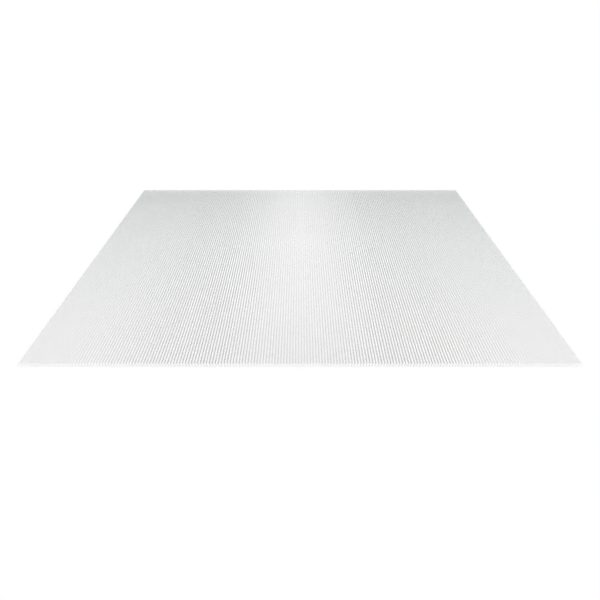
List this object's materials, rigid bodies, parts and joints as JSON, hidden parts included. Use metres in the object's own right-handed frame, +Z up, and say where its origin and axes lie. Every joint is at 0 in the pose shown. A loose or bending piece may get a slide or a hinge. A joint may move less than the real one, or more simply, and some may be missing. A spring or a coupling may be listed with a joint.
{
  "type": "multiwall polycarbonate sheet",
  "caption": "Flat clear twin-wall glazing sheet: two thin skins joined by upright ribs, with open flutes running its length.",
  "frame": {"origin": "middle of the underside, on the surface that the sheet lies on", "axes": "+Z up through the thickness to the outer skin, +Y along the flutes, +X across the ribs"},
  "size_m": [1.05, 2, 0.006],
  "materials": {
    "clear_polycarbonate": "clear extruded polycarbonate, glossy skins, see-through with a faint cool cast"
  },
  "bodies": {
    "root": {"multiwall_sheet": "clear_polycarbonate"}
  },
  "joints": []
}
